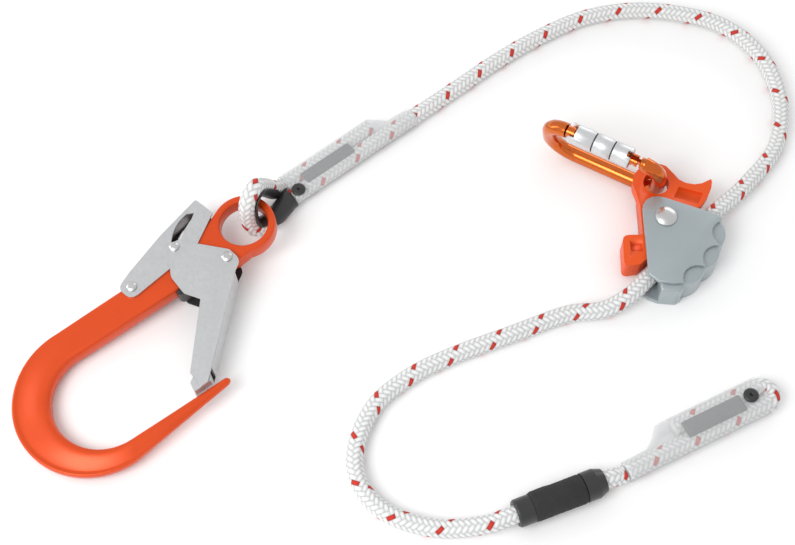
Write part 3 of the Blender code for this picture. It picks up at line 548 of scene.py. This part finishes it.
def tail_route():
    bend = []
    for degrees in range(-90, 91, 30):
        angle = math.radians(degrees)
        bend.append((106.0 + TAIL_BEND * math.cos(angle), TAIL_BEND + TAIL_BEND * math.sin(angle), END_LEVEL))
    out = [(12.0 * k, 0.0, END_LEVEL) for k in range(8)]
    back = [(90.0 - 12.0 * k, 2 * TAIL_BEND, END_LEVEL) for k in range(5)]
    return out + bend + back


for name, node, route, thick, place, start in (
        ("eye_rope", "hook_eye_rope", eye_route(), 11.6, HOOK_END, 4.0),
        ("tail_rope", "tail_loop_rope", tail_route(), 11.9, TAIL_END, 11.0)):
    piece, line = rope(name, route, thick, place, start)
    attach(piece, "lanyard")
    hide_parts(node)
    print(name, round(line_length(line)), "mm of rope")

# %% [markdown]
# The hook is forged: its bar is flat and square-edged along the shank, and round the bow it thins
# towards the outside and ends in a narrow raised rim. Sections are swept along it and closed at the nose.

# %% Hook body
SHANK = [(0.0, 0.62), (0.02, 0.86), (0.05, 0.97), (0.1, 1.0), (0.25, 1.0), (0.4, 1.0), (0.55, 1.0),
         (0.7, 1.0), (0.82, 1.0), (0.9, 1.0), (0.95, 0.97), (0.98, 0.86), (1.0, 0.62)]
BOW = [(0.0, 0.4), (0.02, 0.68), (0.06, 0.87), (0.13, 0.99), (0.22, 1.0), (0.36, 0.9), (0.52, 0.73),
       (0.67, 0.58), (0.8, 0.48), (0.895, 0.45), (0.93, 0.58), (0.975, 0.57), (1.0, 0.36)]
NOSE = [(0.0, 0.25), (0.03, 0.5), (0.09, 0.74), (0.18, 0.9), (0.3, 0.99), (0.42, 1.0), (0.55, 0.96),
        (0.67, 0.87), (0.78, 0.75), (0.87, 0.6), (0.93, 0.48), (0.975, 0.34), (1.0, 0.2)]


BAR_THICK = 12.0
SHANK_START = 24.0
INSIDE_EDGE, OUTSIDE_EDGE = 14.9, -8.0                          # sides of the straight shank
INSIDE_BEND, INSIDE_R = Vector((142.5, 50.0)), 35.3             # middles and radii of the bow
OUTSIDE_BEND, OUTSIDE_R = Vector((148.5, 45.3)), 53.4           # inside and outside of the bar
TIP = Vector((69.5, 88.2))
RING_HOLE_R, RING_R, RING_THICK = 16.5, 22.0, 12.3


def blended(a, b, part):
    return [(p + (r - p) * part, q + (s - q) * part) for (p, q), (r, s) in zip(a, b)]


def bar_section(inner, outer, thick, profile):
    inner, outer = Vector((*inner, 0)), Vector((*outer, 0))
    upper = [inner.lerp(outer, f) + Vector((0, 0, thick / 2 * h)) for f, h in profile]
    lower = [inner.lerp(outer, f) - Vector((0, 0, thick / 2 * h)) for f, h in reversed(profile)]
    return upper + lower


def sweep(name, sections, mat, place, closed=False):
    count = len(sections[0])
    verts = [v for section in sections for v in section]
    faces = []
    last = len(sections) if closed else len(sections) - 1
    for n in range(last):
        for k in range(count):
            a, b = n * count + k, n * count + (k + 1) % count
            after = (n + 1) % len(sections) * count
            faces.append((a, b, after + (k + 1) % count, after + k))
    if not closed:
        faces.append(tuple(range(count))[::-1])
        faces.append(tuple(range((len(sections) - 1) * count, len(sections) * count)))
    obj = add_mesh(name, verts, faces, mat, place)
    bm = bmesh.new()
    bm.from_mesh(obj.data)
    bmesh.ops.recalc_face_normals(bm, faces=bm.faces)
    bm.to_mesh(obj.data)
    bm.free()
    return obj


def ease(t):
    t = min(max(t, 0.0), 1.0)
    return t * t * (3 - 2 * t)


sections = []
for k in range(24):
    part = k / 24
    u_in = SHANK_START + (INSIDE_BEND.x - SHANK_START) * part
    u_out = SHANK_START + (OUTSIDE_BEND.x - SHANK_START) * part
    change = ease((u_in - 85.0) / 110.0)
    sections.append(bar_section((u_in, INSIDE_EDGE), (u_out, OUTSIDE_EDGE), BAR_THICK,
                                blended(SHANK, BOW, change)))
for k in range(61):
    angle = math.radians(-90 + 180 * k / 60)
    way = Vector((math.cos(angle), math.sin(angle)))
    inner = INSIDE_BEND + way * INSIDE_R
    outer = OUTSIDE_BEND + way * OUTSIDE_R
    change = ease((57.5 + INSIDE_R * math.radians(180 * k / 60)) / 110.0)
    profile = blended(blended(SHANK, BOW, change), NOSE, ease((k - 30) / 60) * 0.5)
    sections.append(bar_section(inner, outer, BAR_THICK - 1.5 * k / 60, profile))
for k in range(1, 41):
    part = 1 - (1 - k / 40) ** 1.7
    inner = (INSIDE_BEND + Vector((0, INSIDE_R))).lerp(TIP + Vector((0, -2.2)), part)
    outer = (OUTSIDE_BEND + Vector((0, OUTSIDE_R))).lerp(TIP + Vector((0, 2.2)), part ** 1.12)
    change = ease(0.25 + part)
    close = math.sqrt(max(1 - max((part - 0.955) / 0.045, 0.0) ** 2, 0.02))
    middle = (inner + outer) / 2
    inner, outer = middle.lerp(inner, close), middle.lerp(outer, close)
    sections.append(bar_section(inner, outer, (BAR_THICK - 1.5 - 4.0 * part) * close,
                                blended(BOW, NOSE, change)))
hook_bar = sweep("hook_bar", sections, mats["hook_orange"], HOOK)


def ray_reach(outline, angle):
    """How far the outline is from its origin in one direction."""
    way = Vector((math.cos(angle), math.sin(angle)))
    best = 0.0
    for a, b in zip(outline, outline[1:] + outline[:1]):
        a, b = Vector(a), Vector(b)
        edge = b - a
        cross = way.x * edge.y - way.y * edge.x
        if abs(cross) < 1e-9:
            continue
        far = (a.x * edge.y - a.y * edge.x) / cross
        part = (a.x * way.y - a.y * way.x) / cross
        if far > 0 and -1e-6 <= part <= 1 + 1e-6:
            best = max(best, far)
    return best


ring_edge = [(RING_R * math.cos(math.radians(a)), RING_R * math.sin(math.radians(a)))
             for a in range(-62, -293, -6)]
ring_edge += [(19.5, 21.6), (40.0, 17.4), (58.0, 15.0), (58.0, -8.0), (34.0, -8.0)]
ring_sections = []
for k in range(144):
    angle = 2 * math.pi * k / 144
    way = Vector((math.cos(angle), math.sin(angle)))
    far = min(ray_reach(ring_edge, angle), 46.0)
    width = far - RING_HOLE_R
    e = min(1.7 / width, 0.3)
    soft = [(0.0, 0.62), (0.2 * e, 0.86), (0.5 * e, 0.97), (e, 1.0), (0.5, 1.0), (1 - e, 1.0),
            (1 - 0.5 * e, 0.97), (1 - 0.2 * e, 0.86), (1.0, 0.62)]
    ring_sections.append(bar_section(way * RING_HOLE_R, way * far, RING_THICK, soft))
hook_ring = sweep("hook_ring", ring_sections, mats["hook_orange"], HOOK, closed=True)
for piece in (hook_bar, hook_ring):
    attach(piece, "hook")
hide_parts("hook_body")
print("hook faces", len(hook_bar.data.polygons) + len(hook_ring.data.polygons))

# %% [markdown]
# The black thimble is a thin channel on the inside of the rope's eye. It follows the same line as the
# rope, so it stays between the rope and the ring.

# %% Thimble
CHANNEL_INSIDE, CHANNEL_OUTSIDE = 6.4, 7.5      # radii about the middle of the rope
eye_line = smooth_line(EYE_LOOP, 1.0)
channel = []
first, last = round(len(eye_line) * 0.09), round(len(eye_line) * 0.935)
for n in range(first, last):
    point = eye_line[n]
    way = (eye_line[n + 1] - eye_line[n - 1]).normalized()
    inward = EYE_MIDDLE - point
    inward = (inward - way * inward.dot(way)).normalized()
    side = way.cross(inward)
    # The lower end wraps further down the outside of the rope, as far as the sleeve.
    lean = 24 * ease((n - last + 32) / 16)
    wide = 20 + 46 * ease((n - first) / 14) + lean
    section = []
    for radius, span in ((CHANNEL_INSIDE, 1), (CHANNEL_OUTSIDE, -1)):
        for k in range(13):
            angle = math.radians(lean + wide * (k / 6 - 1) * span)
            section.append(point + inward * radius * math.cos(angle) + side * radius * math.sin(angle))
    channel.append(section)
thimble = sweep("thimble_channel", channel, mats["black_plastic"], HOOK_END)
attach(thimble, "lanyard")
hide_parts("thimble")
print("thimble sections", len(channel))

# %% [markdown]
# The stopper's middle is wrapped in cloth tape. One edge of the tape runs diagonally across it, and
# its pile makes the surface uneven.

# %% Stopper wrap
random.seed(4)
sides, runs = 72, 60
WRAP_START, WRAP_LENGTH = 11.3, 35.5      # along the stopper
WRAP_BORE = 6.35
bumps = [[random.uniform(-1, 1) for _ in range(sides)] for _ in range(runs + 1)]
verts = []
for n in range(runs + 1):
    run = WRAP_START + WRAP_LENGTH * n / runs
    ends = ease(min(n, runs - n) / 4)
    for k in range(sides):
        turn = k / sides
        seam = (turn - 0.16 - 0.42 * n / runs) % 1.0
        lift = 0.45 * (1 - ease(seam / 0.5)) + 0.12 * bumps[n][k]
        radius = 9.35 + ends * (0.25 + lift)
        angle = 2 * math.pi * turn
        verts.append((radius * math.cos(angle), radius * math.sin(angle), run))
faces = []
for n in range(runs):
    for k in range(sides):
        a, b = n * sides + k, n * sides + (k + 1) % sides
        faces.append((a, b, b + sides, a + sides))
first = len(verts)
for run in (WRAP_START + WRAP_LENGTH, WRAP_START):
    for k in range(sides):
        angle = 2 * math.pi * k / sides
        verts.append((WRAP_BORE * math.cos(angle), WRAP_BORE * math.sin(angle), run))
for k in range(sides):
    after = (k + 1) % sides
    faces.append((runs * sides + k, runs * sides + after, first + after, first + k))
    faces.append((first + k, first + after, first + sides + after, first + sides + k))
    faces.append((first + sides + k, first + sides + after, after, k))
wrap = add_mesh("wrap_tape", verts, faces, mats["stopper_wrap_black"], STOPPER)
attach(wrap, "lanyard")
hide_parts("stopper_wrap")
print("wrap faces", len(wrap.data.polygons))

# %% [markdown]
# Rows of zigzag thread hold the two legs of rope together under each sleeve.

# %% Zigzag stitching
THREAD_LEVEL = 14.2     # just above the rope, under the film


def stitches(name, place, start, end, low, high, rows):
    """Rows of zigzag thread side by side, each one a thin round curve."""
    data = bpy.data.curves.new(name, "CURVE")
    data.dimensions = "3D"
    data.bevel_depth = 0.26 * MM
    data.bevel_resolution = 2
    data.use_fill_caps = True
    pitch = (high - low) / rows
    steps = round((end - start) / 1.6)
    for row in range(rows):
        spline = data.splines.new("POLY")
        spline.points.add(steps)
        for n, point in enumerate(spline.points):
            across = low + pitch * (row + (0.15 if n % 2 else 0.85))
            spot = Vector((start + (end - start) * n / steps, across, THREAD_LEVEL))
            point.co = (*(place @ (spot * MM)), 1.0)
    data.materials.append(mats["dark_thread"])
    obj = bpy.data.objects.new(name, data)
    scene.collection.objects.link(obj)
    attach(obj, "lanyard")
    return obj


threads = [stitches("hook_end_thread", HOOK_END, 19.0, 59.0, -8.0, 0.1, 6),
           stitches("tail_thread", TAIL_END, 47.0, 89.0, 1.1, 11.4, 7)]
print("thread rows", sum(len(thread.data.splines) for thread in threads))

# %% [markdown]
# Each stud is a rounded cap with a small hole in its middle, filled with a near-black plug of painted
# shade, and the floors of the two grooves round the gate's sleeve get painted shade too.

# %% Studs and marks
def ring_piece(name, profile, mat, place, sides=32):
    """A profile of (radius, height) turned about the local Z axis."""
    sections = []
    for k in range(sides):
        angle = 2 * math.pi * k / sides
        sections.append([Vector((r * math.cos(angle), r * math.sin(angle), z)) for r, z in profile])
    return sweep(name, sections, mat, place, closed=True)


for name, place, x, y in (("hook_end_stud", HOOK_END, 8.8, -9.6), ("tail_stud", TAIL_END, 96.5, 7.6)):
    spot = place @ put(x, y, 15.0)
    cap_profile = [(1.0, 0.9), (1.2, 1.55), (2.0, 1.75), (3.6, 1.7), (4.6, 1.35), (5.0, 0.9), (5.0, 0.2),
                   (2.1, 0.2), (2.1, -0.7), (1.0, -0.7)]
    stud = ring_piece(name + "_cap", cap_profile, mats["black_plastic"], spot)
    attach(stud, "lanyard")
    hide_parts(name)
    # Painted shade: this near-black plug in the cap's hole stands in for the shade inside it.
    hole_shade_profile = [(0.05, 0.7), (0.95, 0.7), (0.95, -0.6), (0.05, -0.6)]
    hole_shade = ring_piece(name + "_core", hole_shade_profile, painted_shade_mat, spot, 16)
    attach(hole_shade, "lanyard")

# Painted shade: the groove floors get the near-black material, standing in for the shade in the grooves.
# A face belongs to a groove when it lies at the groove's radius and faces outwards.
mesh = hard["twist_sleeve"].data
mesh.materials.append(painted_shade_mat)
SLEEVE_AT = Vector((0.15864, 0.090058, 0.046425)) + SHIFT * MM    # a point on the sleeve's axis
SLEEVE_AXIS = Vector((0.880477, -0.474088, 0.0))
GROOVE_LOW, GROOVE_HIGH = 6.5 * MM, 6.95 * MM                     # a groove floor lies between these radii
dark = 0
for poly in mesh.polygons:
    arm = poly.center - SLEEVE_AT
    outward = arm - SLEEVE_AXIS * arm.dot(SLEEVE_AXIS)
    if GROOVE_LOW < outward.length < GROOVE_HIGH and poly.normal.dot(outward.normalized()) > 0.8:
        poly.material_index = 1
        dark += 1
print("groove faces", dark)
